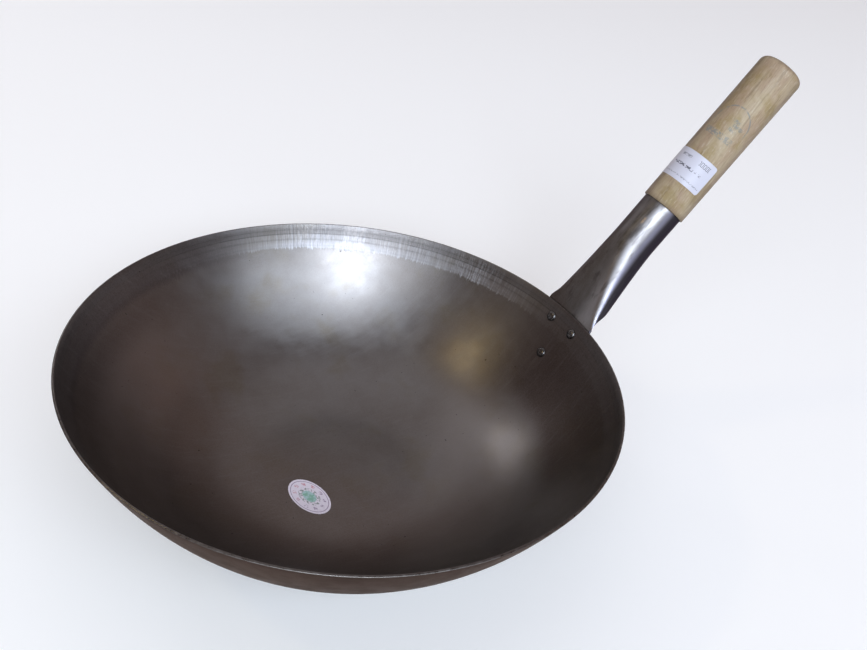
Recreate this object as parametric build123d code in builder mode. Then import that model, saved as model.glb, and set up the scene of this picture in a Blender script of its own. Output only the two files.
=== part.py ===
from build123d import *
import math
import os

os.makedirs("parts", exist_ok=True)

# Millimetres and degrees. The wok stands on its flat base at the origin, the
# handle points along +X and the bowl opens along +Z.

# Bowl, pressed from one disc of carbon steel sheet
rim_radius = 165.0
rim_height = 90.0
rim_slope = 64.8
base_radius = 50.0
bowl_sheet = 1.5
rim_edge_round = 0.4

# Handle line, from the rim up to the grip's far end
handle_slope = 52.4
socket_length = 92.0
socket_diameter = 28.4
socket_sheet = 1.2

# Fan and tongue, where the rolled socket opens flat against the bowl
tongue_width = 47.0
tongue_sheet = 1.5
tongue_rise = 4.8
tongue_end_radius = 9.0
lip_depth = 5.0
lip_width = 5.0
seam_width = 0.8

# Rivets, placed down the wall from the rim
rivet_diameter = 4.0
rivet_head_diameter = 6.4
rivet_head_height = 1.5
rivet_spacing = 23.0
upper_rivet_drop = 9.6
lower_rivet_drop = 33.0

# Wood grip with a turned tenon that sits in the socket
grip_diameter = 31.0
grip_length = 115.0
grip_end_round = 4.5
grip_shoulder_round = 0.6
tenon_length = 30.0
tenon_clearance = 0.25

# Nail that holds the grip in the socket
nail_diameter = 2.0
nail_head_diameter = 5.0
nail_head_height = 0.9
nail_length = 12.0
nail_setback = 11.0

# Paper oval in the bowl
paper_thickness = 0.15
oval_length = 33.5
oval_width = 21.0
oval_turn = 103.6
oval_place_turn = 209.8
oval_place_share = 0.57

# Paper label round the grip
label_length = 21.6
label_setback = 17.4
label_start_turn = 63.0
label_wrap_turn = 145.0
label_corner_radius = 2.0

# Fits
seat_gap = 0.1
hole_gap = 0.05
paper_gap = 0.02
overrun = 5.0

# Side view of the bowl's outside: two arcs that leave the flat base and
# reach the rim at its slope, with equal tangent lengths at both ends
rim_turn = math.radians(rim_slope)
base_edge = Vector(base_radius, 0)
rim_edge = Vector(rim_radius, rim_height)
base_way = Vector(1, 0)
rim_way = Vector(math.cos(rim_turn), math.sin(rim_turn))
span = rim_edge - base_edge
lean = span.dot(base_way + rim_way)
openness = 1 - base_way.dot(rim_way)
tangent = (math.sqrt(lean**2 + 2 * openness * span.dot(span)) - lean) / (2 * openness)
low_corner = base_edge + base_way * tangent
high_corner = rim_edge - rim_way * tangent
knee = (low_corner + high_corner) * 0.5
knee_way = (high_corner - low_corner).normalized()
wall_turn = rim_turn - math.atan2(knee_way.Y, knee_way.X)
wall_radius = tangent / math.tan(wall_turn / 2)


def inward(way):
    return Vector(-way.Y, way.X)


def wall_turn_at(drop):
    return rim_turn - drop / wall_radius


def wall_point(drop, stand_off):
    """A point of the side view: a length down the wall, and off its outside."""
    turn = wall_turn_at(drop)
    centre = rim_edge + inward(rim_way) * wall_radius
    return centre + Vector(math.sin(turn), -math.cos(turn)) * (wall_radius + stand_off)


def wall_plane(drop, side, stand_off):
    """A plane on the wall that faces out, its y up the wall, side along the rim."""
    point = wall_point(drop, stand_off)
    turn = wall_turn_at(drop)
    round_z = side / rim_radius
    out = Vector(math.cos(round_z), math.sin(round_z), 0)
    along = Vector(-math.sin(round_z), math.cos(round_z), 0)
    origin = out * point.X + Vector(0, 0, point.Y)
    facing = out * math.sin(turn) - Vector(0, 0, math.cos(turn))
    return Plane(origin=origin, x_dir=along, z_dir=facing)


rivet_places = {
    "rivet_left": (upper_rivet_drop, rivet_spacing / 2),
    "rivet_right": (upper_rivet_drop, -rivet_spacing / 2),
    "rivet_lower": (lower_rivet_drop, 0),
}
rivet_hole_radius = rivet_diameter / 2 + hole_gap

# Bowl
with BuildPart() as wok_bowl:
    with BuildSketch(Plane.XZ):
        with BuildLine():
            rim_inside = rim_edge + inward(rim_way) * bowl_sheet
            knee_inside = knee + inward(knee_way) * bowl_sheet
            base_inside = base_edge + inward(base_way) * bowl_sheet
            Line((0, 0), base_edge)
            TangentArc(base_edge, knee, tangent=base_way)
            TangentArc(knee, rim_edge, tangent=knee_way)
            Line(rim_edge, rim_inside)
            TangentArc(rim_inside, knee_inside, tangent=rim_way * -1)
            TangentArc(knee_inside, base_inside, tangent=knee_way * -1)
            Line(base_inside, (0, bowl_sheet))
            Line((0, bowl_sheet), (0, 0))
        make_face()
    revolve(axis=Axis.Z)
    rim_edges = wok_bowl.edges().filter_by(GeomType.CIRCLE).sort_by(Axis.Z)[-2:]
    fillet(rim_edges, radius=min(rim_edge_round, bowl_sheet / 3))
    for drop, side in rivet_places.values():
        with Locations(wall_plane(drop, side, 0)):
            Cylinder(rivet_hole_radius, bowl_sheet * 4, mode=Mode.SUBTRACT)
wok_bowl.part.label = "wok_bowl"
export_step(wok_bowl.part, "parts/wok_bowl.step")

# Tongue of the socket: a plate that follows the outside of the wall, rises
# above the rim and tapers to a round end below the lower rivet
tongue_reach = lower_rivet_drop + tongue_end_radius
tongue_half_turn = tongue_width / rim_radius
tongue_side = Vector(math.cos(tongue_half_turn), -math.sin(tongue_half_turn), 0)
with BuildPart() as tongue:
    with BuildSketch(Plane(origin=(0, 0, 0), x_dir=tongue_side, z_dir=tongue_side.cross(Vector(0, 0, 1)))):
        with BuildLine():
            ends = []
            for stand_off in (seat_gap, seat_gap + tongue_sheet):
                low = wall_point(tongue_reach + overrun, stand_off)
                middle = wall_point(tongue_reach / 2, stand_off)
                high = wall_point(0, stand_off)
                top = high + rim_way * tongue_rise
                ThreePointArc(low, middle, high)
                Line(high, top)
                ends.append((low, top))
            Line(ends[0][0], ends[1][0])
            Line(ends[0][1], ends[1][1])
        make_face()
    revolve(axis=Axis.Z, revolution_arc=math.degrees(2 * tongue_half_turn))
    middle_drop = tongue_reach / 2
    band_height = tongue_rise + overrun + upper_rivet_drop
    with BuildSketch(wall_plane(middle_drop, 0, 0)):
        with Locations((0, middle_drop - lower_rivet_drop)):
            Circle(tongue_end_radius)
        with Locations((0, middle_drop + tongue_rise + overrun - band_height / 2)):
            Rectangle(tongue_width, band_height)
        make_hull()
    extrude(amount=tongue_width, both=True, mode=Mode.INTERSECT)

# Socket: the sheet is rolled to a tube round the tenon, and opens behind into
# a fan that ends in the tongue
handle_turn = math.radians(handle_slope)
handle_way = Vector(math.cos(handle_turn), 0, math.sin(handle_turn))
handle_front = Vector(-math.sin(handle_turn), 0, math.cos(handle_turn))
handle_foot = Vector(rim_radius, 0, rim_height)
bend_turn = rim_turn - handle_turn
fan_end_share = 0.4
fan_end = math.cos(bend_turn) * tongue_rise * fan_end_share
fan_front = math.tan(bend_turn) * fan_end - seat_gap / math.cos(bend_turn)

# Each station is a share of the socket's length, with its shares of the change
# from the round tube to the flat fan: in width, and in depth and front face
socket_station_shares = (
    (0.66, 0.00, 0.00),
    (0.46, 0.12, 0.08),
    (0.27, 0.46, 0.44),
)
tube_length = socket_length * (1 - socket_station_shares[0][0])
corner_share = 0.96


def socket_stations(wall):
    """Planes and sizes of the socket's cross-sections, drawn in by a wall."""
    places = [(share * socket_length, wide, flat) for share, wide, flat in socket_station_shares]
    places.append((fan_end, 1, 1))
    stations = []
    for place, wide, flat in places:
        width = socket_diameter + (tongue_width - socket_diameter) * wide
        depth = socket_diameter + (lip_depth - socket_diameter) * flat
        front = socket_diameter / 2 + (fan_front - socket_diameter / 2) * flat
        origin = handle_foot + handle_way * place + handle_front * (front - depth / 2)
        plane = Plane(origin=origin, x_dir=(0, 1, 0), z_dir=handle_way)
        corner = (min(width, depth) / 2 - wall) * corner_share
        stations.append((plane, width - 2 * wall, depth - 2 * wall, corner))
    return stations


def handle_plane(place, front, facing):
    """A plane on the handle's line whose x runs up the handle."""
    origin = handle_foot + handle_way * place + handle_front * front
    return Plane(origin=origin, x_dir=handle_way, z_dir=facing)


nail_place = socket_length - nail_setback
nail_plane = Plane(
    origin=handle_foot + handle_way * nail_place + Vector(0, socket_diameter / 2 + seat_gap, 0),
    x_dir=handle_way,
    z_dir=(0, 1, 0),
)
nail_hole_radius = nail_diameter / 2 + hole_gap
seam_split_share = 0.62

with BuildPart() as handle_socket:
    for wall, mode in ((0, Mode.ADD), (socket_sheet, Mode.SUBTRACT)):
        stations = socket_stations(wall)
        for plane, width, depth, corner in stations:
            with BuildSketch(plane):
                RectangleRounded(width, depth, corner)
        loft(mode=mode)
        plane, width, depth, corner = stations[0]
        with BuildSketch(plane):
            RectangleRounded(width, depth, corner)
        extrude(amount=tube_length, mode=mode)
    with BuildSketch(handle_plane(0, fan_front - lip_depth / 2, handle_front * -1)):
        with BuildLine():
            slit = seam_width / 2
            gape = tongue_width / 2 - lip_width
            far = socket_length + overrun
            near = fan_end - overrun
            split = socket_length * seam_split_share
            side = [(far, slit), (split, slit), (fan_end, gape), (near, gape)]
            other_side = [(place, -half) for place, half in reversed(side)]
            Polyline(*side, *other_side, close=True)
        make_face()
    extrude(amount=socket_diameter, mode=Mode.SUBTRACT)
    add(tongue.part)
    for drop, side in rivet_places.values():
        with Locations(wall_plane(drop, side, 0)):
            Cylinder(rivet_hole_radius, tongue_sheet * 4, mode=Mode.SUBTRACT)
    with Locations(nail_plane):
        Cylinder(nail_hole_radius, socket_diameter / 2, mode=Mode.SUBTRACT)
handle_socket.part.label = "handle_socket"
export_step(handle_socket.part, "parts/handle_socket.step")

# Rivets: low round heads inside and outside, on a shank through both sheets
rivet_grip = bowl_sheet + seat_gap + tongue_sheet
head_round = min(rivet_head_height, rivet_head_diameter / 2) * 0.85
for name, (drop, side) in rivet_places.items():
    inside = wall_plane(drop, side, -bowl_sheet - hole_gap)
    outside = wall_plane(drop, side, seat_gap + tongue_sheet + hole_gap)
    with BuildPart() as rivet:
        with BuildSketch(inside):
            Circle(rivet_diameter / 2)
        extrude(amount=rivet_grip + 2 * hole_gap)
        with BuildSketch(inside):
            Circle(rivet_head_diameter / 2)
        inner_head = extrude(amount=-rivet_head_height)
        with BuildSketch(outside):
            Circle(rivet_head_diameter / 2)
        outer_head = extrude(amount=rivet_head_height)
        across = rivet.edges().filter_by(GeomType.CIRCLE).sort_by(Axis(inside.origin, inside.z_dir))
        fillet([across[0], across[-1]], radius=head_round)
    rivet.part.label = name
    export_step(rivet.part, "parts/" + name + ".step")

# Wood grip, turned from one piece with its tenon
grip_foot = handle_foot + handle_way * socket_length
grip_plane = Plane(origin=grip_foot, x_dir=(0, 1, 0), z_dir=handle_way)
tenon_radius = socket_diameter / 2 - socket_sheet - tenon_clearance
with BuildPart() as wood_grip:
    with BuildSketch(grip_plane):
        Circle(grip_diameter / 2)
    extrude(amount=grip_length)
    ends = wood_grip.edges().filter_by(GeomType.CIRCLE).sort_by(Axis(grip_foot, handle_way))
    fillet(ends[-1], radius=grip_end_round)
    fillet(ends[0], radius=grip_shoulder_round)
    with BuildSketch(grip_plane):
        Circle(tenon_radius)
    extrude(amount=-tenon_length)
    with Locations(nail_plane):
        Cylinder(nail_hole_radius, 2 * (nail_length + seat_gap), mode=Mode.SUBTRACT)
wood_grip.part.label = "wood_grip"
export_step(wood_grip.part, "parts/wood_grip.step")

# Nail, driven through the side of the socket into the tenon
with BuildPart() as grip_nail:
    with BuildSketch(nail_plane):
        Circle(nail_head_diameter / 2)
    extrude(amount=nail_head_height)
    fillet(grip_nail.edges().sort_by(Axis.Y)[-1], radius=nail_head_height / 2)
    with BuildSketch(nail_plane):
        Circle(nail_diameter / 2)
    extrude(amount=-nail_length)
grip_nail.part.label = "grip_nail"
export_step(grip_nail.part, "parts/grip_nail.step")

# Paper oval on the flat of the bowl
oval_reach = base_radius * oval_place_share
oval_place = math.radians(oval_place_turn)
oval_origin = Vector(math.cos(oval_place), math.sin(oval_place)) * oval_reach
with BuildPart() as bowl_sticker:
    with BuildSketch(Plane.XY.offset(bowl_sheet + paper_gap).move(Location(oval_origin))):
        Ellipse(oval_length / 2, oval_width / 2, rotation=oval_turn)
    extrude(amount=paper_thickness)
bowl_sticker.part.label = "bowl_sticker"
export_step(bowl_sticker.part, "parts/bowl_sticker.step")

# Paper label wrapped part of the way round the grip
label_start = math.radians(label_start_turn)
label_facing = handle_front * math.cos(label_start) + Vector(0, math.sin(label_start), 0)
label_plane = Plane(origin=grip_foot, x_dir=handle_way, z_dir=handle_way.cross(label_facing))
label_middle = label_setback + label_length / 2
with BuildPart() as grip_label:
    with BuildSketch(label_plane):
        with Locations((label_middle, grip_diameter / 2 + paper_gap + paper_thickness / 2)):
            Rectangle(label_length, paper_thickness)
    revolve(axis=Axis(grip_foot, handle_way), revolution_arc=label_wrap_turn)
    corners = grip_label.edges().filter_by(lambda edge: edge.length < 2 * paper_thickness)
    fillet(corners, radius=label_corner_radius)
grip_label.part.label = "grip_label"
export_step(grip_label.part, "parts/grip_label.step")
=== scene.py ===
import math
import bmesh
import bpy
from mathutils import Matrix, Vector


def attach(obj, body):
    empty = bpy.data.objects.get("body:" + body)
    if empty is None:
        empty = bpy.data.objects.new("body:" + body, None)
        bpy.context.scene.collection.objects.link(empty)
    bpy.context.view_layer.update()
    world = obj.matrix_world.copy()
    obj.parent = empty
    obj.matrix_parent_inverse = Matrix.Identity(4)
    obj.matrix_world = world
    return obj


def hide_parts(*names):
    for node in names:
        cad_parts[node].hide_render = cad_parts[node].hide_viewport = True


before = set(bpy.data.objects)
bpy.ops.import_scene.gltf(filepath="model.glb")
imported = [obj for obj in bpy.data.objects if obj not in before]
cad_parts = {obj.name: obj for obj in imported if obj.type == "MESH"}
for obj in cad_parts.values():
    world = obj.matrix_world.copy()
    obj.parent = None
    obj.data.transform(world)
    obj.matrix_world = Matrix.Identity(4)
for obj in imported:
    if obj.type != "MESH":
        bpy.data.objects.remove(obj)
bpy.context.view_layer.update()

# Camera. The picture is taken by hand from above the near rim, looking down into
# the bowl and up along the handle, and it is turned ten degrees.
eye = Vector((-0.23946, -0.41269, 0.44132))
picture_right = Vector((0.85734, -0.49382, 0.14527))
picture_up = Vector((0.17492, 0.54494, 0.82003))
bpy.ops.object.camera_add()
camera = bpy.context.object
camera.name = "picture_camera"
camera.data.sensor_width = 36
camera.data.lens = 41.52
turned = Matrix((picture_right, picture_up, picture_right.cross(picture_up))).transposed()
camera.matrix_world = Matrix.Translation(eye) @ turned.to_4x4()
bpy.context.scene.camera = camera

# Bowl. One disc of carbon steel sheet, 1.5 mm thick, pressed in a die to a round
# bowl with a flat base, then trimmed at the rim. The draw leaves fine upright
# streaks and scored lines in a band under the rim, and the trim a thin dark edge.
bowl_facets = 192
sheet = 0.0015
rim_edge_round = 0.0004
base_radius = 0.050
base_ring_radii = (0.012, 0.024, 0.035, 0.044, base_radius)
corner_arc = 0.10140
corner_rows = 18
wall_arc = 0.20463
wall_rows = 22
knee_turn = math.radians(42.81)
rim_turn = math.radians(64.8)
rim_radius = 0.165
rim_height = 0.090
wall_centre = Vector((
    rim_radius - wall_arc * math.sin(rim_turn),
    rim_height + wall_arc * math.cos(rim_turn),
))
sharp_edge = math.radians(50)


def wall_at(turn):
    """Radius and height of the wall's outside where it has turned up this far."""
    if turn < knee_turn:
        return Vector((base_radius + corner_arc * math.sin(turn), corner_arc * (1 - math.cos(turn))))
    return wall_centre + Vector((math.sin(turn), -math.cos(turn))) * wall_arc


def take_up(kind, **size):
    """Adds a primitive alone in the selection and opens it for work on its edges."""
    bpy.ops.object.select_all(action="DESELECT")
    getattr(bpy.ops.mesh, "primitive_" + kind + "_add")(**size)
    piece = bpy.context.object
    bpy.ops.object.mode_set(mode="EDIT")
    bpy.ops.mesh.select_mode(type="EDGE")
    return piece


def lay_down(piece, name, smooth=40):
    """Closes the work on a piece, with its place in its mesh and its faces smooth."""
    bpy.ops.object.mode_set(mode="OBJECT")
    bpy.ops.object.transform_apply(location=True, rotation=True, scale=True)
    bpy.ops.object.shade_smooth_by_angle(angle=math.radians(smooth))
    piece.name = name
    piece.data.name = name


def work(piece, kind, **settings):
    """Adds a modifier to a piece and applies it."""
    step = piece.modifiers.new(kind.lower(), kind)
    for setting, value in settings.items():
        setattr(step, setting, value)
    bpy.ops.object.modifier_apply(modifier=step.name)


half_facet = (0, 0, math.pi / bowl_facets)
bowl = take_up(
    "circle", vertices=bowl_facets, radius=base_ring_radii[0], rotation=half_facet, fill_type="TRIFAN"
)
bpy.ops.mesh.select_all(action="DESELECT")
bpy.ops.mesh.select_non_manifold()
rings = [Vector((radius, 0)) for radius in base_ring_radii]
rings += [wall_at(knee_turn * row / corner_rows) for row in range(1, corner_rows + 1)]
rings += [wall_at(knee_turn + (rim_turn - knee_turn) * row / wall_rows) for row in range(1, wall_rows + 1)]
for inner, outer in zip(rings, rings[1:]):
    bpy.ops.mesh.extrude_edges_move()
    growth = outer.x / inner.x
    bpy.ops.transform.resize(value=(growth, growth, 1), center_override=(0, 0, 0))
    bpy.ops.transform.translate(value=(0, 0, outer.y - inner.y))
bpy.ops.mesh.select_all(action="SELECT")
bpy.ops.mesh.normals_make_consistent(inside=False)
bpy.ops.object.mode_set(mode="OBJECT")
# three slots, for the outside, the inside and the trimmed edge
for slot in range(3):
    bpy.ops.object.material_slot_add()
work(
    bowl, "SOLIDIFY", thickness=sheet, offset=-1, use_even_offset=True,
    material_offset=1, material_offset_rim=2,
)
work(bowl, "BEVEL", width=rim_edge_round, segments=3, limit_method="ANGLE", angle_limit=sharp_edge)
lay_down(bowl, "pressed_bowl")


def lay(tree, kind, inputs=None, **settings):
    """Adds one step of a finish: its settings, then its inputs, set or joined to an earlier step."""
    step = tree.nodes.new("ShaderNode" + kind)
    for setting, value in settings.items():
        setattr(step, setting, value)
    for socket, value in (inputs or {}).items():
        if isinstance(value, bpy.types.NodeSocket):
            tree.links.new(value, step.inputs[socket])
        else:
            step.inputs[socket].default_value = value
    return step


def reckon(tree, operation, first, second=0.0):
    """One sum on two numbers."""
    return lay(tree, "Math", {0: first, 1: second}, operation=operation).outputs[0]


def times(tree, first, second):
    """The product of two numbers."""
    return reckon(tree, "MULTIPLY", first, second)


def plus(tree, first, second):
    """The sum of two numbers."""
    return reckon(tree, "ADD", first, second)


def ramp(tree, value, low, high, start=0.0, end=1.0):
    """A smooth change from start to end as a value goes from low to high."""
    inputs = {"Value": value, "From Min": low, "From Max": high, "To Min": start, "To Max": end}
    return lay(tree, "MapRange", inputs, interpolation_type="SMOOTHSTEP").outputs["Result"]


def cloud(tree, place, scale, detail=3.0, roughness=0.5):
    """Even noise at a number of spots per metre."""
    inputs = {"Vector": place, "Scale": scale, "Detail": detail, "Roughness": roughness}
    return lay(tree, "TexNoise", inputs).outputs["Fac"]


def tone(tree, share, first, second):
    """A colour between two, by a share."""
    return lay(tree, "Mix", {0: share, 6: first, 7: second}, data_type="RGBA").outputs[2]


def shape_in(tree, height, depth, base=None):
    """Raises a surface by a height from 0 to 1 times a depth in metres."""
    inputs = {"Height": height, "Distance": depth, "Strength": 1.0}
    if base:
        inputs["Normal"] = base
    return lay(tree, "Bump", inputs).outputs["Normal"]


def new_finish(name, metallic=0.0, ior=1.45):
    """A new finish, with its tree, its surface and its place on the piece."""
    finish = bpy.data.materials.new(name)
    finish.use_nodes = True
    tree = finish.node_tree
    surface = tree.nodes["Principled BSDF"]
    surface.inputs["Metallic"].default_value = metallic
    surface.inputs["IOR"].default_value = ior
    place = lay(tree, "TexCoord").outputs["Object"]
    return finish, tree, surface, place


def give(tree, surface, **sockets):
    """Joins finished values to the surface."""
    for socket, value in sockets.items():
        tree.links.new(value, surface.inputs[socket.replace("_", " ")])


def worn_steel(name, spots, detail, dark, pale, smooth, rough, depth):
    """Bare steel in dark and pale spots, so many per metre, with the pale ones rougher and raised."""
    finish, tree, surface, place = new_finish(name, metallic=1.0)
    wear = cloud(tree, place, spots, detail, 0.6)
    give(
        tree, surface,
        Base_Color=tone(tree, ramp(tree, wear, 0.3, 0.7), dark, pale),
        Roughness=ramp(tree, wear, 0.3, 0.7, smooth, rough),
        Normal=shape_in(tree, wear, depth),
    )
    return finish


def without_height(tree, split):
    """A place that was split in three, joined again without its height."""
    return lay(tree, "CombineXYZ", {"X": split.outputs["X"], "Y": split.outputs["Y"]}).outputs[0]


def towards(tree, where, degrees):
    """How far a place or a direction goes to one side, in degrees round from the handle."""
    side = (math.cos(math.radians(degrees)), math.sin(math.radians(degrees)), 0)
    return lay(tree, "VectorMath", {0: where, 1: side}, operation="DOT_PRODUCT").outputs["Value"]


inside_dark = (0.150, 0.134, 0.126, 1)
inside_pale = (0.192, 0.184, 0.184, 1)
inside_stain = (0.15, 0.128, 0.095, 1)
grain_pale = (0.28, 0.27, 0.27, 1)
pit_dark = (0.03, 0.026, 0.024, 1)
wiped_pale = (0.25, 0.24, 0.245, 1)
# painted shade for the wall up the handle's side
handle_side_painted_shade = (0.080, 0.060, 0.056, 1)
near_brown = (0.135, 0.100, 0.085, 1)
# painted glow for the low wall on the front side
front_painted_glow = (0.27, 0.25, 0.24, 1)
# for the left wall: painted light low down, painted shade high up and in its band
left_painted_light = (0.27, 0.215, 0.195, 1)
left_painted_shade = (0.085, 0.066, 0.060, 1)
left_band_painted_shade = (0.066, 0.056, 0.062, 1)
# the lavender of the band's painted sheen
band_painted_sheen = (0.36, 0.36, 0.385, 1)
above_line_grey = (0.095, 0.090, 0.094, 1)
score_dark = (0.045, 0.042, 0.042, 1)
# where the worn parts, the painted light and the painted shade lie, in degrees round from the handle
hard_side = 53
handle_side = -20
near_side = -143
front_side = -38
left_side = 160
# the streaked band: its foot up the wall, how soft, notched and uneven that is, how far
# up its painted sheen stays brightest, its deepest line, and how often its streaks come round and up
band_foot = 0.0757
band_edge_soft = 0.0007
band_notch = 0.0016
band_wander = 0.0022
band_glow = 0.0055
deep_line = 0.0843
streaks_round = 130
streaks_up = 60
# scored lines: height up the wall, half width and strength
score_lines = (
    (deep_line, 0.0004, 0.5),
    (0.0808, 0.0005, 0.25),
    (0.0868, 0.00035, 0.25),
    (0.0768, 0.0006, 0.15),
)


def bowl_inside_steel():
    finish, tree, surface, place = new_finish("bowl_inside_steel", metallic=1.0)
    split = lay(tree, "SeparateXYZ", {0: place})
    height = split.outputs["Z"]
    level = without_height(tree, split)
    way = lay(tree, "VectorMath", {0: level}, operation="NORMALIZE").outputs["Vector"]
    hard = towards(tree, way, hard_side)
    # streaks: about 1.2 mm apart round the rim and 15 mm long up the wall
    split_way = lay(tree, "SeparateXYZ", {0: way})
    streak_place = lay(tree, "CombineXYZ", {
        "X": times(tree, split_way.outputs["X"], streaks_round),
        "Y": times(tree, split_way.outputs["Y"], streaks_round),
        "Z": times(tree, height, streaks_up),
    }).outputs[0]
    fine_streaks = cloud(tree, streak_place, 1.0, 4.0, 0.65)
    wide_streaks = cloud(tree, streak_place, 0.12, 2.0)
    # the draw was hardest on the side that leans to the handle's left, and uneven there; the band's
    # painted sheen is strongest there too
    drawn_hard = ramp(tree, cloud(tree, place, 14, 2.0), 0.36, 0.62, 0.45, 1.0)
    drawn_hard = times(tree, drawn_hard, ramp(tree, hard, 0.66, 0.97, 0.07, 1.0))
    # the band's lower edge wanders and has small notches
    notches = ramp(tree, fine_streaks, 0.45, 0.7, 0.0, band_notch)
    wander = times(tree, reckon(tree, "SUBTRACT", wide_streaks, 0.5), band_wander)
    raised = plus(tree, height, plus(tree, notches, wander))
    in_band = ramp(tree, raised, band_foot - band_edge_soft, band_foot + band_edge_soft)
    # its painted sheen is brightest at its foot and duller above the deepest line
    near_foot = ramp(tree, raised, band_foot + 0.001, band_foot + band_glow, 0.42, 0.0)
    below_line = ramp(tree, height, deep_line - 0.0007, deep_line + 0.0009, 1.0, 0.58)
    streaks = times(tree, ramp(tree, fine_streaks, 0.42, 0.64), drawn_hard)
    # painted sheen on the band, strongest at its foot and broken into pale streaks
    painted_sheen = times(tree, plus(tree, times(tree, near_foot, in_band), 0.25), drawn_hard)
    painted_sheen = plus(tree, painted_sheen, times(tree, streaks, 0.55))
    painted_sheen = times(tree, times(tree, painted_sheen, in_band), below_line)
    # broad cloudiness, fine rolled grain, pits and rubbing all over
    broad = cloud(tree, place, 13, 4.0, 0.6)
    grain = cloud(tree, place, 1100, 3.0, 0.6)
    rubbed = cloud(tree, place, 75, 5.0, 0.6)
    stains = cloud(tree, place, 27, 3.0, 0.6)
    pits = cloud(tree, place, 420, 2.0, 0.5)
    # faint strokes of the cloth that oiled it
    wiped_place = lay(tree, "Mapping", {"Vector": place, "Rotation": (0, 0, 0.45), "Scale": (1, 11, 1)})
    wiped = cloud(tree, wiped_place.outputs[0], 42, 5.0, 0.7)
    colour = tone(tree, ramp(tree, broad, 0.3, 0.7), inside_dark, inside_pale)
    colour = tone(tree, ramp(tree, stains, 0.5, 0.7, 0.0, 0.5), colour, inside_stain)
    # painted shade darkens and browns the wall up the handle's side
    shade_and_brown = ramp(tree, towards(tree, way, handle_side), 0.8, 0.99)
    shade_and_brown = times(tree, shade_and_brown, ramp(tree, height, 0.026, 0.044, 0.0, 0.8))
    colour = tone(tree, shade_and_brown, colour, handle_side_painted_shade)
    # the base and the low wall on the near side are a little browner and darker
    shade_and_brown = ramp(tree, towards(tree, level, near_side), -0.03, 0.02)
    shade_and_brown = times(tree, shade_and_brown, ramp(tree, height, 0.014, 0.030, 0.55, 0.1))
    colour = tone(tree, shade_and_brown, colour, near_brown)
    # a painted glow makes the low wall paler on the front side
    front_glow = ramp(tree, towards(tree, level, front_side), 0.040, 0.080)
    front_glow = times(tree, front_glow, ramp(tree, height, 0.018, 0.042, 0.5, 0.0))
    colour = tone(tree, front_glow, colour, front_painted_glow)
    # the left wall is painted paler low down as painted light, and darker high up and in its band as
    # painted shade
    by_left = towards(tree, way, left_side)
    far_left = ramp(tree, by_left, 0.6, 0.95)
    low_left = times(tree, far_left, ramp(tree, height, 0.016, 0.030, 0.0, 0.45))
    colour = tone(tree, low_left, colour, left_painted_light)
    high_left = times(tree, far_left, ramp(tree, height, 0.046, 0.066, 0.0, 0.62))
    colour = tone(tree, high_left, colour, left_painted_shade)
    left_band = times(tree, ramp(tree, by_left, 0.25, 0.7), ramp(tree, raised, 0.0700, 0.0752, 0.0, 0.5))
    colour = tone(tree, left_band, colour, left_band_painted_shade)
    # the band's painted sheen and its scored lines
    colour = tone(tree, painted_sheen, colour, band_painted_sheen)
    above_line = ramp(tree, height, deep_line - 0.0005, deep_line + 0.0013, 0.0, 0.35)
    colour = tone(tree, above_line, colour, above_line_grey)
    for line_height, half_width, strength in score_lines:
        off_line = reckon(tree, "ABSOLUTE", reckon(tree, "SUBTRACT", height, line_height))
        line = ramp(tree, off_line, half_width * 0.5, half_width * 1.6, strength, 0.0)
        line = times(tree, line, ramp(tree, rubbed, 0.3, 0.6, 0.5, 1.0))
        line = times(tree, line, ramp(tree, hard, 0.2, 0.95, 0.3, 1.0))
        colour = tone(tree, line, colour, score_dark)
    colour = tone(tree, ramp(tree, grain, 0.35, 0.65, 0.0, 0.12), colour, grain_pale)
    colour = tone(tree, ramp(tree, pits, 0.745, 0.775, 0.0, 0.8), colour, pit_dark)
    colour = tone(tree, ramp(tree, wiped, 0.5, 0.72, 0.0, 0.16), colour, wiped_pale)
    drawn = times(tree, streaks, in_band)
    rough = ramp(tree, rubbed, 0.3, 0.7, 0.325, 0.375)
    rough = plus(tree, rough, ramp(tree, wiped, 0.35, 0.65, -0.012, 0.012))
    rough = plus(tree, rough, times(tree, in_band, 0.03))
    rough = plus(tree, rough, times(tree, drawn, 0.06))
    normal = shape_in(tree, broad, 0.00007)
    normal = shape_in(tree, grain, 0.000014, normal)
    normal = shape_in(tree, drawn, 0.00006, normal)
    give(tree, surface, Base_Color=colour, Roughness=rough, Normal=normal)
    return finish


outside_dark = (0.036, 0.026, 0.019, 1)
outside_pale = (0.056, 0.043, 0.034, 1)
outside_worn = (0.085, 0.067, 0.054, 1)
outside_glint = (0.45, 0.33, 0.26, 1)
# how often the die's rings come outward, and how often they break across the bowl
rings_outward = 900
ring_breaks = 9


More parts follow.
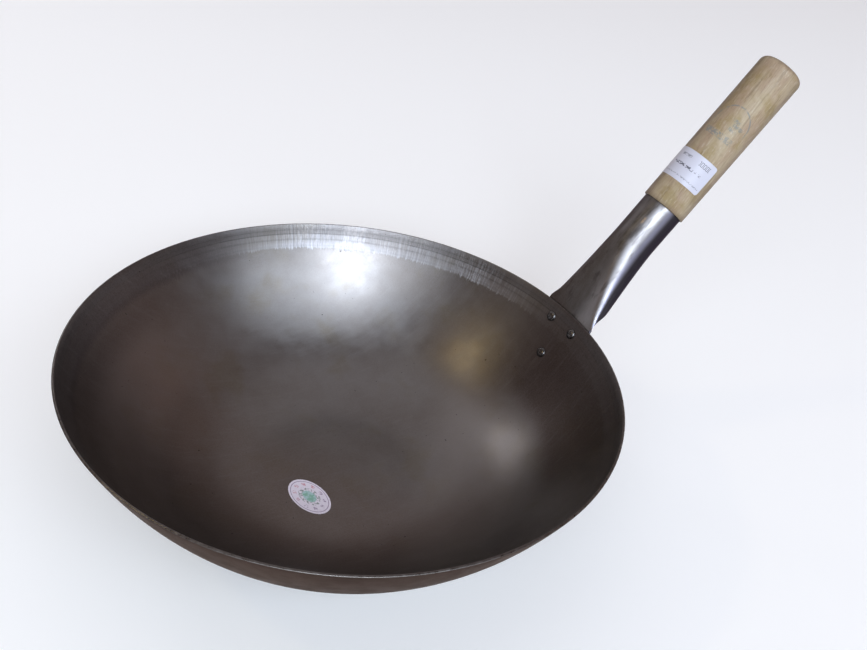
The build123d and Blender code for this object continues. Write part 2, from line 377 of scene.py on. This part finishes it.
def bowl_outside_steel():
    finish, tree, surface, place = new_finish("bowl_outside_steel", metallic=0.72)
    surface.inputs["Specular Tint"].default_value = outside_glint
    split = lay(tree, "SeparateXYZ", {0: place})
    reach = lay(tree, "VectorMath", {0: without_height(tree, split)}, operation="LENGTH").outputs["Value"]
    # fine rings from the die, about 1 mm apart, broken up by a little noise
    ring_place = lay(tree, "CombineXYZ", {
        "X": times(tree, reach, rings_outward),
        "Y": times(tree, split.outputs["X"], ring_breaks),
        "Z": times(tree, split.outputs["Y"], ring_breaks),
    }).outputs[0]
    rings_worn = cloud(tree, ring_place, 1.0, 2.0, 0.6)
    broad = cloud(tree, place, 16, 4.0, 0.6)
    rubbed = cloud(tree, place, 80, 5.0, 0.6)
    grain = cloud(tree, place, 1100, 3.0, 0.6)
    colour = tone(tree, ramp(tree, broad, 0.3, 0.7), outside_dark, outside_pale)
    colour = tone(tree, ramp(tree, rings_worn, 0.4, 0.7, 0.0, 0.25), colour, outside_worn)
    rough = ramp(tree, rubbed, 0.3, 0.7, 0.40, 0.50)
    normal = shape_in(tree, broad, 0.0002)
    normal = shape_in(tree, rings_worn, 0.00002, normal)
    normal = shape_in(tree, grain, 0.000012, normal)
    give(tree, surface, Base_Color=colour, Roughness=rough, Normal=normal)
    return finish


trim_dark = (0.10, 0.088, 0.082, 1)
trim_pale = (0.16, 0.148, 0.143, 1)
trimmed_edge_steel = worn_steel("trimmed_edge_steel", 300, 4.0, trim_dark, trim_pale, 0.26, 0.40, 0.00003)
bowl.material_slots[0].material = bowl_outside_steel()
bowl.material_slots[1].material = bowl_inside_steel()
bowl.material_slots[2].material = trimmed_edge_steel
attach(bowl, "root")
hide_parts("wok_bowl")

# Socket. One trapezoid of steel sheet rolled to a tube round the grip's tenon, with
# its seam behind. Below, its front flattens to a fan, its sides fade out, and it
# bends down over the rim into a tongue that lies on the outside of the wall.
socket_radius = 0.0142
socket_sheet = 0.00135
socket_edge_round = 0.0003
socket_length = 0.092
seam_half_turn = math.radians(1.6)
tube_foot = 0.066
bend_rise = 0.0022
seat_gap = 0.0001
fan_half_width = 0.0225
fan_edge_round = 0.0030
fan_edge_turn = math.radians(22)
fan_side_length = 0.027
front_half_turn = math.radians(11)
# how soon the fan becomes a tube up the handle, and how soon its sides turn in
tube_ease = 1.4
side_ease = 1.5
tongue_half_width = 0.0234
tongue_edge_share = 0.1
neck_drop = 0.0096
end_drop = 0.033
end_radius = 0.009
end_lean = math.acos(end_radius / math.hypot(end_drop - neck_drop, tongue_half_width))
end_lean -= math.atan2(end_drop - neck_drop, tongue_half_width)
tongue_reach = end_drop + end_radius * 0.995
handle_turn = math.radians(52.4)
handle_way = Vector((math.cos(handle_turn), 0, math.sin(handle_turn)))
handle_front = Vector((-math.sin(handle_turn), 0, math.cos(handle_turn)))
handle_foot = Vector((rim_radius, 0, rim_height))
rim_way = Vector((math.cos(rim_turn), math.sin(rim_turn)))
bend_place = bend_rise * math.cos(rim_turn - handle_turn)
bend_front = bend_rise * math.sin(rim_turn - handle_turn) - seat_gap
front_columns = 7
side_columns = 17
tube_rows = 40
tongue_rows = 34


def across(column, flat, edge, turn):
    """Side and front of one column of the sheet, over its flat front and round its edge."""
    share = min(abs(column) / front_columns, 1)
    bend = front_half_turn * share
    if abs(column) > front_columns:
        bend += (turn - front_half_turn) * (abs(column) - front_columns) / side_columns
    side = flat * share + edge * math.sin(bend)
    return math.copysign(side, column), -edge * (1 - math.cos(bend))


def rolled(column, place):
    """A point of the tube or the fan, at a place up the handle."""
    tube = 1 - max(0, 1 - (place - bend_place) / (tube_foot - bend_place)) ** tube_ease
    edge = fan_edge_round + (socket_radius - fan_edge_round) * tube
    opened = 1 - max(0, 1 - (place - bend_place) / fan_side_length) ** side_ease
    turn = fan_edge_turn + (math.pi - seam_half_turn - fan_edge_turn) * opened
    half_width = fan_half_width + (socket_radius - fan_half_width) * tube
    flat = half_width - edge * math.sin(min(turn, math.pi / 2))
    side, front = across(column, flat, edge, turn)
    front += bend_front + (socket_radius - bend_front) * tube
    point = handle_foot + handle_way * place + handle_front * front + Vector((0, side, 0))
    # the fan is as round as the rim it bends over
    point.x -= (1 - tube) ** 2 * side * side / (2 * rim_radius)
    return point


def on_wall(column, drop):
    """A point of the lip or the tongue, at a drop down the wall from the rim."""
    touch_drop = end_drop + end_radius * math.sin(end_lean)
    touch_half_width = end_radius * math.cos(end_lean)
    if drop < neck_drop:
        half_width = fan_half_width + (tongue_half_width - fan_half_width) * max(0, drop) / neck_drop
    elif drop < touch_drop:
        down = (drop - neck_drop) / (touch_drop - neck_drop)
        half_width = tongue_half_width + (touch_half_width - tongue_half_width) * down
    else:
        half_width = math.sqrt(end_radius ** 2 - (drop - end_drop) ** 2)
    flat, edge = half_width * (1 - tongue_edge_share), half_width * tongue_edge_share
    side = across(column, flat, edge, math.pi / 2)[0]
    turn = rim_turn - max(drop, 0) / wall_arc
    wall = wall_centre + Vector((math.sin(turn), -math.cos(turn))) * (wall_arc + seat_gap)
    wall -= rim_way * min(drop, 0)
    round_rim = side / rim_radius
    return Vector((wall.x * math.cos(round_rim), wall.x * math.sin(round_rim), wall.y))


columns = front_columns + side_columns
places = [socket_length + (bend_place - socket_length) * row / tube_rows for row in range(tube_rows + 1)]
drops = [-bend_rise * share for share in (0.75, 0.5, 0.25)]
drops += [tongue_reach * math.sin(math.pi / 2 * row / tongue_rows) for row in range(tongue_rows + 1)]
last_row = len(places) + len(drops) - 1
bpy.ops.object.select_all(action="DESELECT")
bpy.ops.mesh.primitive_grid_add(x_subdivisions=2 * columns, y_subdivisions=last_row, size=2)
socket = bpy.context.object
for corner in socket.data.vertices:
    column = round(corner.co.x * columns)
    row = round((1 - corner.co.y) / 2 * last_row)
    if row < len(places):
        corner.co = rolled(column, places[row])
    else:
        corner.co = on_wall(column, drops[row - len(places)])
socket.data.update()
work(socket, "SOLIDIFY", thickness=socket_sheet, offset=1, use_even_offset=True)
work(socket, "BEVEL", width=socket_edge_round, segments=2, limit_method="ANGLE", angle_limit=sharp_edge)
lay_down(socket, "rolled_socket")
socket_grey = (0.115, 0.102, 0.095, 1)
socket_pale = (0.185, 0.177, 0.180, 1)
# painted highlight on the tube and fan
socket_painted_highlight = (0.34, 0.33, 0.34, 1)
socket_smudge = (0.055, 0.046, 0.043, 1)
# painted shade on the side that turns back
socket_painted_shade = (0.030, 0.026, 0.034, 1)
socket_brown = (0.075, 0.053, 0.043, 1)
# painted blue sheen beside the highlight
socket_painted_blue_sheen = (0.25, 0.25, 0.35, 1)
socket_grain = (0.21, 0.20, 0.20, 1)
socket_glint = (0.50, 0.46, 0.50, 1)
bright_turn = -0.85
blue_turn = 1.16
scuff_tan = (0.42, 0.31, 0.21, 1)
scuff_height = 0.0767
scuff_turn = -0.37


def near(tree, value, middle, half_width, soft, full=1.0):
    """Full where a value is within a half width of the middle, and zero outside."""
    off = reckon(tree, "ABSOLUTE", reckon(tree, "SUBTRACT", value, middle))
    return ramp(tree, off, half_width - soft, half_width + soft, full, 0.0)


def up_the_handle(tree, place):
    """The place seen from the handle's foot, where Z runs up the handle and -X to its
    front, then its height up the handle and its turn round it from the front."""
    inputs = {"Vector": place, "Location": handle_foot, "Rotation": (0, math.pi / 2 - handle_turn, 0)}
    along = lay(tree, "Mapping", inputs, vector_type="TEXTURE").outputs[0]
    split = lay(tree, "SeparateXYZ", {0: along})
    turn = reckon(tree, "ARCTAN2", split.outputs["Y"], times(tree, split.outputs["X"], -1.0))
    return along, split.outputs["Z"], turn


def rolled_steel():
    finish, tree, surface, place = new_finish("rolled_steel", metallic=1.0)
    surface.inputs["Specular Tint"].default_value = socket_glint
    along, up, turn = up_the_handle(tree, place)
    long_place = lay(tree, "Mapping", {"Vector": along, "Scale": (1, 1, 0.3)}).outputs[0]
    broad = cloud(tree, long_place, 60, 4.0, 0.6)
    smudges = cloud(tree, long_place, 130, 3.0, 0.6)
    rubbed = cloud(tree, place, 160, 5.0, 0.6)
    grain = cloud(tree, place, 1300, 3.0, 0.6)
    colour = tone(tree, ramp(tree, broad, 0.34, 0.66), socket_grey, socket_pale)
    # a painted highlight on one side, measured round the tube and across the fan
    split = lay(tree, "SeparateXYZ", {0: along})
    front = reckon(tree, "SUBTRACT", ramp(tree, up, 0.0, 0.055, socket_radius, 0.0), split.outputs["X"])
    round_front = reckon(tree, "ARCTAN2", split.outputs["Y"], front)
    painted_sheen = near(tree, round_front, bright_turn, 0.4, 0.3)
    painted_sheen = times(tree, painted_sheen, ramp(tree, broad, 0.3, 0.6, 0.65, 0.95))
    colour = tone(tree, painted_sheen, colour, socket_painted_highlight)
    colour = tone(tree, ramp(tree, smudges, 0.50, 0.68, 0.0, 0.7), colour, socket_smudge)
    # the other side is browner and darker
    colour = tone(tree, ramp(tree, round_front, 0.15, 0.9, 0.0, 0.6), colour, socket_brown)
    colour = tone(tree, ramp(tree, grain, 0.35, 0.65, 0.0, 0.15), colour, socket_grain)
    # beside the bright side the sheet turns back, measured round the middle of its edge's
    # bend, which lies far out on the fan and in the middle of the tube
    flatness = {"Value": up, "From Min": bend_place, "From Max": tube_foot, "To Min": 1.0, "To Max": 0.0}
    flatness = reckon(tree, "POWER", lay(tree, "MapRange", flatness).outputs["Result"], tube_ease)
    middle_side = times(tree, flatness, fan_half_width - fan_edge_round)
    middle_back = times(tree, flatness, fan_edge_round - bend_front)
    past_middle = reckon(tree, "SUBTRACT", times(tree, split.outputs["Y"], -1.0), middle_side)
    behind_middle = reckon(tree, "SUBTRACT", middle_back, split.outputs["X"])
    turned_back = reckon(tree, "ARCTAN2", past_middle, behind_middle)
    # there a blue sheen is painted, and then painted shade nearly black
    past_bright = plus(tree, turned_back, times(tree, flatness, 0.5))
    colour = tone(tree, near(tree, past_bright, blue_turn, 0.14, 0.12, 0.7), colour, socket_painted_blue_sheen)
    painted_dark_side = times(tree, ramp(tree, past_bright, 1.08, 1.42, 0.0, 0.92), ramp(tree, turned_back, 2.9, 2.4))
    colour = tone(tree, painted_dark_side, colour, socket_painted_shade)
    # a small tan scuff on the front of the tube
    scuff = near(tree, up, scuff_height, 0.0022, 0.0012)
    scuff = times(tree, scuff, near(tree, turn, scuff_turn, 0.055, 0.03))
    scuff = times(tree, scuff, ramp(tree, grain, 0.36, 0.5))
    colour = tone(tree, times(tree, scuff, 0.8), colour, scuff_tan)
    rough = ramp(tree, rubbed, 0.3, 0.7, 0.35, 0.43)
    rough = plus(tree, rough, ramp(tree, round_front, -0.8, -0.3, 0.0, 0.06))
    rough = plus(tree, rough, times(tree, scuff, 0.2))
    normal = shape_in(tree, smudges, 0.00004)
    normal = shape_in(tree, grain, 0.000012, normal)
    give(tree, surface, Base_Color=colour, Roughness=rough, Normal=normal)
    return finish


socket.data.materials.append(rolled_steel())
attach(socket, "root")
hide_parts("handle_socket")

# Rivets. Three soft steel rivets hold the tongue to the wall. Each has a low
# round head inside the bowl and one on the tongue, closed by a hand hammer.
rivet_facets = 32
shank_radius = 0.0020
# a head from its foot up: radius and height of each ring
head_rings = (
    (0.0033, 0.0),
    (0.0034, 0.0004),
    (0.0032, 0.0007),
    (0.0027, 0.00105),
    (0.0020, 0.0013),
    (0.0011, 0.00143),
    (0.0004, 0.00147),
)
head_place = 0.00005
tongue_sheet = 0.0015
rivet_grip = sheet + seat_gap + tongue_sheet
hammer_dent = 0.00006
hair = 0.00001
rivet_dark = (0.075, 0.07, 0.07, 1)
rivet_pale = (0.16, 0.155, 0.155, 1)
# drop down the wall from the rim, place to the side, and the seed of its dents
rivet_places = {
    "rivet_left": (0.0096, 0.0115, 3),
    "rivet_right": (0.0096, -0.0115, 8),
    "rivet_lower": (0.033, 0.0, 5),
}
rivet_steel = worn_steel("rivet_steel", 500, 3.0, rivet_dark, rivet_pale, 0.24, 0.36, 0.00012)
one_rivet = take_up("circle", vertices=rivet_facets, radius=shank_radius, fill_type="NOTHING")
bpy.ops.mesh.select_all(action="SELECT")
size, level = shank_radius, 0
head_foot = rivet_grip / 2 + head_place
for radius, height in ((shank_radius, 0),) + head_rings:
    bpy.ops.mesh.extrude_edges_move()
    bpy.ops.transform.resize(value=(radius / size, radius / size, 1), center_override=(0, 0, level))
    bpy.ops.transform.translate(value=(0, 0, head_foot + height - level))
    size, level = radius, head_foot + height
bpy.ops.mesh.edge_face_add()
bpy.ops.object.mode_set(mode="OBJECT")
work(one_rivet, "MIRROR", use_axis=(False, False, True), merge_threshold=hair)
bpy.ops.object.mode_set(mode="EDIT")
bpy.ops.mesh.select_all(action="SELECT")
bpy.ops.mesh.normals_make_consistent(inside=False)
bpy.ops.object.mode_set(mode="OBJECT")
for name, (drop, side, seed) in rivet_places.items():
    bpy.ops.object.select_all(action="DESELECT")
    one_rivet.select_set(True)
    bpy.context.view_layer.objects.active = one_rivet
    bpy.ops.object.duplicate()
    rivet = bpy.context.object
    # each head is struck a little differently
    bpy.ops.object.mode_set(mode="EDIT")
    bpy.ops.mesh.select_all(action="SELECT")
    bpy.ops.transform.vertex_random(offset=hammer_dent, seed=seed)
    bpy.ops.object.mode_set(mode="OBJECT")
    turn = rim_turn - drop / wall_arc
    round_rim = side / rim_radius
    middle = wall_centre + Vector((math.sin(turn), -math.cos(turn))) * (wall_arc - sheet + rivet_grip / 2)
    out = Vector((math.cos(round_rim), math.sin(round_rim), 0))
    along = Vector((-math.sin(round_rim), math.cos(round_rim), 0))
    facing = out * math.sin(turn) - Vector((0, 0, math.cos(turn)))
    stand = Matrix((along, facing.cross(along), facing)).transposed().to_4x4()
    rivet.matrix_world = Matrix.Translation(out * middle.x + Vector((0, 0, middle.y))) @ stand
    lay_down(rivet, "hammered_" + name, smooth=60)
    rivet.data.materials.append(rivet_steel)
    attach(rivet, "root")
    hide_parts(name)
bpy.data.objects.remove(one_rivet)

# Grip. Turned from one billet of pale wood and sanded, with a round far end, a
# small round at the shoulder and a tenon that is driven into the socket.
grip_facets = 96
grip_radius = 0.01549
grip_length = 0.11499
grip_end_round = 0.0045
shoulder_round = 0.0006
tenon_radius = 0.01275
tenon_length = 0.030
grip_foot = handle_foot + handle_way * socket_length


def choose(piece, test):
    """Selects the edges of a piece whose two ends both pass a test of their place."""
    bpy.ops.mesh.select_all(action="DESELECT")
    net = bmesh.from_edit_mesh(piece.data)
    for edge in net.edges:
        edge.select_set(all(test(corner.co) for corner in edge.verts))
    bmesh.update_edit_mesh(piece.data)


grip = take_up("cylinder", vertices=grip_facets, radius=grip_radius, depth=grip_length)
bpy.ops.mesh.select_all(action="SELECT")
bpy.ops.transform.translate(value=(0, 0, grip_length / 2))
choose(grip, lambda corner: corner.z > grip_length - grip_end_round)
bpy.ops.mesh.bevel(offset=grip_end_round, segments=10)
choose(grip, lambda corner: corner.z < shoulder_round)
bpy.ops.mesh.bevel(offset=shoulder_round, segments=3)
choose(grip, lambda corner: corner.z < hair)
bpy.ops.mesh.select_mode(type="FACE")
bpy.ops.mesh.inset(thickness=grip_radius - shoulder_round - tenon_radius)
bpy.ops.mesh.extrude_region_move(TRANSFORM_OT_translate={"value": (0, 0, -tenon_length)})
bpy.ops.object.mode_set(mode="OBJECT")
grip.matrix_world = Matrix.Translation(grip_foot) @ Matrix.Rotation(math.pi / 2 - handle_turn, 4, "Y")
bpy.ops.object.mode_set(mode="EDIT")
lay_down(grip, "turned_grip")
wood_pale = (0.395, 0.318, 0.213, 1)
wood_pink = (0.328, 0.238, 0.163, 1)
wood_olive = (0.27, 0.20, 0.088, 1)
wood_brown = (0.13, 0.088, 0.052, 1)
wood_fleck = (0.56, 0.51, 0.43, 1)
# the turn that faces the camera, how dark the painted shade on the other sides is, and where each end
# darkens, the shoulder with painted shade
camera_facing_turn = -0.66
side_painted_shade = 0.55
shoulder_painted_shade = (socket_length, socket_length + 0.004)
far_end_darkening = (0.2035, 0.207)
stamp_ink = (0.13, 0.17, 0.19, 1)
stamp_height = 0.157
stamp_turn = -0.50
stamp_radius = 0.0125
# rows of the stamp: middle and half height up the grip, middle and half width round it
stamp_rows = (
    (0.0035, 0.0012, -0.0025, 0.0022),
    (0.0005, 0.0013, -0.0055, 0.0035),
    (-0.0026, 0.0012, -0.0035, 0.003),
    (-0.0095, 0.0021, 0.0015, 0.0105),
)


def turned_wood():
    finish, tree, surface, place = new_finish("turned_wood")
    surface.inputs["Specular IOR Level"].default_value = 0.3
    along, up, turn = up_the_handle(tree, place)
    # the grain runs up the grip and leans a little, as the billet was cut off its line
    leaned = lay(tree, "Mapping", {"Vector": along, "Rotation": (0.07, 0.05, 0)}).outputs[0]
    long_place = lay(tree, "Mapping", {"Vector": leaned, "Scale": (1, 1, 0.055)}).outputs[0]
    short_place = lay(tree, "Mapping", {"Vector": leaned, "Scale": (1, 1, 0.22)}).outputs[0]
    fibres = cloud(tree, long_place, 1500, 3.0, 0.6)
    veins = cloud(tree, long_place, 330, 3.0, 0.6)
    pores = cloud(tree, short_place, 900, 3.0, 0.65)
    patches = cloud(tree, short_place, 120, 4.0, 0.62)
    blotches = cloud(tree, along, 60, 3.0, 0.6)
    colour = tone(tree, ramp(tree, patches, 0.36, 0.62), wood_pink, wood_pale)
    colour = tone(tree, ramp(tree, blotches, 0.44, 0.66, 0.0, 0.75), colour, wood_olive)
    colour = tone(tree, ramp(tree, veins, 0.52, 0.72, 0.0, 0.45), colour, wood_brown)
    colour = tone(tree, ramp(tree, pores, 0.52, 0.74, 0.0, 0.30), colour, wood_brown)
    colour = tone(tree, ramp(tree, pores, 0.28, 0.46, 0.35, 0.0), colour, wood_fleck)
    colour = tone(tree, ramp(tree, fibres, 0.5, 0.75, 0.0, 0.22), colour, wood_brown)
    # painted shade darkens the sides turned from the camera and the shoulder by the socket, and the far
    # end is darker
    sides = reckon(tree, "SUBTRACT", side_painted_shade, near(tree, turn, camera_facing_turn, 1.0, 0.45, side_painted_shade))
    colour = tone(tree, sides, colour, wood_brown)
    ends = plus(tree, ramp(tree, up, *shoulder_painted_shade, 0.5, 0.0), ramp(tree, up, *far_end_darkening, 0.0, 0.55))
    colour = tone(tree, ends, colour, wood_brown)
    # a worn ink stamp: part of a ring, three spots in it and a row of strokes under it
    wide = times(tree, reckon(tree, "SUBTRACT", turn, stamp_turn), grip_radius)
    high = reckon(tree, "SUBTRACT", up, stamp_height)
    flat = lay(tree, "CombineXYZ", {"X": wide, "Y": high}).outputs[0]
    reach = lay(tree, "VectorMath", {0: flat}, operation="LENGTH").outputs["Value"]
    worn = ramp(tree, cloud(tree, flat, 260, 3.0, 0.6), 0.36, 0.54, 0.0, 0.62)
    strokes = ramp(tree, cloud(tree, flat, 900, 2.0, 0.6), 0.42, 0.50)
    stamp = times(tree, near(tree, reach, stamp_radius, 0.00045, 0.0003), ramp(tree, high, -0.004, 0.001))
    for middle, half_height, side, half_width in stamp_rows:
        row = near(tree, high, middle, half_height, 0.0004)
        row = times(tree, row, near(tree, wide, side, half_width, 0.001))
        stamp = reckon(tree, "MAXIMUM", stamp, times(tree, row, strokes))
    colour = tone(tree, times(tree, stamp, worn), colour, stamp_ink)
    rough = ramp(tree, pores, 0.3, 0.7, 0.38, 0.56)
    normal = shape_in(tree, fibres, 0.00005)
    normal = shape_in(tree, pores, 0.00008, normal)
    give(tree, surface, Base_Color=colour, Roughness=rough, Normal=normal)
    return finish


grip.data.materials.append(turned_wood())
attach(grip, "root")
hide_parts("wood_grip")

# Nail. A short wire nail with a flat round head, driven through the socket's
# side into the tenon.
nail_dark = (0.13, 0.12, 0.115, 1)
nail_pale = (0.27, 0.26, 0.255, 1)
nail_steel = worn_steel("nail_steel", 900, 4.0, nail_dark, nail_pale, 0.28, 0.42, 0.00005)
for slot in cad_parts["grip_nail"].material_slots:
    slot.material = nail_steel

# Sticker. A die-cut oval of glossy white paper with its own glue, pressed on the
# bowl's flat. It is printed with a thin border, a ring of marks and a green badge.
sticker_middle = Vector((-0.02473, -0.01416, 0.0))
sticker_half_length = 0.01675
sticker_half_width = 0.0105
sticker_turn = math.radians(103.6)
sticker_white = (0.70, 0.645, 0.74, 1)
print_plum = (0.20, 0.13, 0.24, 1)
print_rose = (0.50, 0.17, 0.22, 1)
print_green = (0.13, 0.36, 0.25, 1)
print_teal = (0.30, 0.50, 0.50, 1)
print_leaf = (0.12, 0.17, 0.14, 1)
# from the sticker's middle, in parts of the way to its edge
border_reach = 0.89
marks_reach = 0.70
leaves_reach = 0.42
badge_reach = 0.36
marks_round = 10


def sticker_paper():
    finish, tree, surface, place = new_finish("sticker_paper")
    inputs = {"Vector": place, "Location": sticker_middle, "Rotation": (0, 0, sticker_turn)}
    flat = lay(tree, "Mapping", inputs, vector_type="TEXTURE").outputs[0]
    inputs = {0: flat, 1: (1 / sticker_half_length, 1 / sticker_half_width, 0)}
    oval = lay(tree, "VectorMath", inputs, operation="MULTIPLY").outputs["Vector"]
    reach = lay(tree, "VectorMath", {0: oval}, operation="LENGTH").outputs["Value"]
    split = lay(tree, "SeparateXYZ", {0: oval})
    round_turn = reckon(tree, "ARCTAN2", split.outputs["Y"], split.outputs["X"])
    blot = cloud(tree, flat, 1500, 2.0, 0.5)
    colour = tone(tree, near(tree, reach, border_reach, 0.016, 0.012, 0.8), sticker_white, print_plum)
    # ten marks round the ring, each of a few small strokes
    beat = reckon(tree, "SINE", times(tree, round_turn, marks_round))
    stroke = ramp(tree, cloud(tree, flat, 1000, 2.0, 0.6), 0.44, 0.54, 0.0, 0.75)
    marks = times(tree, ramp(tree, beat, 0.0, 0.5), near(tree, reach, marks_reach, 0.085, 0.02))
    marks_ink = tone(tree, ramp(tree, split.outputs["X"], -0.2, 0.3), print_plum, print_rose)
    colour = tone(tree, times(tree, marks, stroke), colour, marks_ink)
    # the badge: a green and teal spot with darker leaves round it
    leaves = ramp(tree, cloud(tree, flat, 700, 2.0), 0.47, 0.56, 0.0, 0.75)
    leaves = times(tree, leaves, near(tree, reach, leaves_reach, 0.10, 0.03))
    colour = tone(tree, leaves, colour, print_leaf)
    blotted_reach = plus(tree, reach, times(tree, blot, 0.12))
    badge = ramp(tree, blotted_reach, badge_reach, badge_reach + 0.06, 0.85, 0.0)
    badge_ink = tone(tree, ramp(tree, cloud(tree, flat, 420, 2.0), 0.42, 0.58), print_green, print_teal)
    colour = tone(tree, badge, colour, badge_ink)
    rough = ramp(tree, blot, 0.3, 0.7, 0.38, 0.45)
    normal = shape_in(tree, cloud(tree, flat, 300, 3.0), 0.00003)
    give(tree, surface, Base_Color=colour, Roughness=rough, Normal=normal)
    return finish


sticker_finish = sticker_paper()
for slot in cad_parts["bowl_sticker"].material_slots:
    slot.material = sticker_finish

# Label. A strip of white paper with its own glue and round corners, wrapped round
# the front of the grip above the socket. It has three printed rows of marks.
label_white = (0.55, 0.55, 0.63, 1)
label_ink = (0.05, 0.05, 0.07, 1)
label_foot = socket_length + 0.0174
crisp = 0.00005
box_pitch = 0.0021
box_width = 0.0016
box_line = 0.00035
box_height = 0.0172
boxes_middle = box_pitch * -6.5
boxes_half_width = box_pitch * 2
# each row: height up the label, half height, first and last turn, cell width, share and strength
label_rows = (
    (0.0172, 0.0009, -0.20, 0.35, 0.0007, 0.50, 0.6),
    (0.0105, 0.0010, -0.60, 0.45, 0.0009, 0.45, 0.85),
    (0.0105, 0.0008, -1.00, -0.68, 0.0007, 0.50, 0.6),
    (0.0032, 0.00045, -1.30, 0.60, 0.0005, 0.50, 0.55),
)


def label_paper():
    finish, tree, surface, place = new_finish("label_paper")
    up, turn = up_the_handle(tree, place)[1:]
    up = reckon(tree, "SUBTRACT", up, label_foot)
    wrap = times(tree, turn, grip_radius)
    # four open boxes in the corner: the whole boxes less their open part
    boxes = lay(tree, "Math", {0: wrap, 1: box_pitch, 2: 0.0}, operation="WRAP").outputs[0]
    whole, open_part = (
        times(
            tree,
            near(tree, boxes, box_pitch / 2, box_width / 2 - line, crisp),
            near(tree, up, box_height, box_width - line, crisp),
        )
        for line in (0, box_line)
    )
    frames = reckon(tree, "SUBTRACT", whole, open_part)
    frames = times(tree, frames, near(tree, wrap, boxes_middle, boxes_half_width, crisp, 0.85))
    colour = tone(tree, frames, label_white, label_ink)
    # then the rows, each of small cells that are inked or left by chance
    for row, (middle, half_height, first, last, cell, share, strength) in enumerate(label_rows):
        cell_place = lay(tree, "CombineXYZ", {
            "X": reckon(tree, "FLOOR", reckon(tree, "DIVIDE", wrap, cell)),
            "Y": reckon(tree, "FLOOR", reckon(tree, "DIVIDE", up, half_height * 0.66)),
            "Z": float(row),
        }).outputs[0]
        chance = lay(tree, "TexWhiteNoise", {"Vector": cell_place}).outputs["Value"]
        mark = times(tree, reckon(tree, "LESS_THAN", chance, share), strength)
        mark = times(tree, mark, near(tree, up, middle, half_height, 0.0001))
        mark = times(tree, mark, near(tree, turn, (first + last) / 2, (last - first) / 2, 0.004))
        colour = tone(tree, mark, colour, label_ink)
    creased = cloud(tree, place, 260, 3.0, 0.5)
    rough = ramp(tree, creased, 0.3, 0.7, 0.40, 0.50)
    give(tree, surface, Base_Color=colour, Roughness=rough, Normal=shape_in(tree, creased, 0.00005))
    return finish


label_finish = label_paper()
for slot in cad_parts["grip_label"].material_slots:
    slot.material = label_finish

# Floor and light. A plain pale floor, a window and a wide soft lamp on the camera's
# side, small soft ones beyond the bowl, and weak ones above and beside it, in a dim
# warm room whose low wall looks pale to the camera and in metal but lights nothing.
floor_size = 30
floor_pale = (0.92, 0.92, 0.92, 1)
bpy.ops.object.select_all(action="DESELECT")
bpy.ops.mesh.primitive_plane_add(size=floor_size)
floor = bpy.context.object
floor.name = "studio_floor"
floor_finish, tree, surface, place = new_finish("floor_paint")
surface.inputs["Base Color"].default_value = floor_pale
surface.inputs["Roughness"].default_value = 0.9
surface.inputs["Emission Color"].default_value = (1, 1, 1, 1)


def seen(tree):
    """One for what the camera sees, itself or mirrored in metal."""
    path = lay(tree, "LightPath")
    return reckon(tree, "MAXIMUM", path.outputs["Is Camera Ray"], path.outputs["Is Glossy Ray"])


# from low down, the far floor beyond the lamps looks as pale as the near floor
far_off = lay(tree, "VectorMath", {0: place}, operation="LENGTH").outputs["Value"]
glow = times(tree, seen(tree), ramp(tree, far_off, 2.0, 8.5, 0.1, 0.62))
tree.links.new(glow, surface.inputs["Emission Strength"])
floor.data.materials.append(floor_finish)

lamp_target = Vector((0, 0, 0.05))


def hang_lamp(name, turn, rise, far, wide, tall, watts, colour, roll=0):
    """A soft lamp seen from the bowl at a turn and a rise, pointed at it and rolled."""
    turn, rise = math.radians(turn), math.radians(rise)
    way = Vector((math.cos(rise) * math.cos(turn), math.cos(rise) * math.sin(turn), math.sin(rise)))
    bpy.ops.object.light_add(type="AREA", location=lamp_target + way * far)
    lamp = bpy.context.object
    lamp.name = name
    facing_bowl = way.to_track_quat("Z", "Y").to_matrix()
    lamp.rotation_euler = (facing_bowl @ Matrix.Rotation(math.radians(roll), 3, "Z")).to_euler()
    lamp.data.shape = "RECTANGLE"
    lamp.data.size = wide
    lamp.data.size_y = tall
    lamp.data.energy = watts
    lamp.data.color = colour


hang_lamp("window_lamp", -114, 34, 6.0, 2.0, 2.2, 172, (0.82, 0.90, 1.0))
hang_lamp("wide_lamp", -109, 38.5, 6.4, 10.4, 3.0, 375, (0.77, 0.88, 1.0), roll=5)
hang_lamp("warm_lamp", 160.5, 44.6, 1.5, 0.12, 0.12, 1.0, (1.0, 0.8, 0.42))
hang_lamp("far_lamp", 105, 28, 1.5, 0.22, 0.4, 0.95, (0.97, 0.97, 1.0))
hang_lamp("roof_lamp", 84, 70, 6.0, 7.2, 7.4, 70, (0.93, 0.95, 1.0))
hang_lamp("left_lamp", -2, 28, 6.0, 7.2, 6.0, 22, (1.0, 0.8, 0.74))

room_dim = (0.20, 0.155, 0.145, 1)
wall_pale = (0.80, 0.80, 0.81, 1)
world = bpy.data.worlds.new("studio_air")
world.use_nodes = True
tree = world.node_tree
rise = lay(tree, "SeparateXYZ", {0: lay(tree, "TexCoord").outputs["Generated"]}).outputs["Z"]
wall = times(tree, seen(tree), ramp(tree, rise, 0.05, 0.16, 1.0, 0.0))
tree.links.new(tone(tree, wall, room_dim, wall_pale), tree.nodes["Background"].inputs["Color"])
bpy.context.scene.world = world
bpy.context.scene.view_settings.view_transform = "Standard"
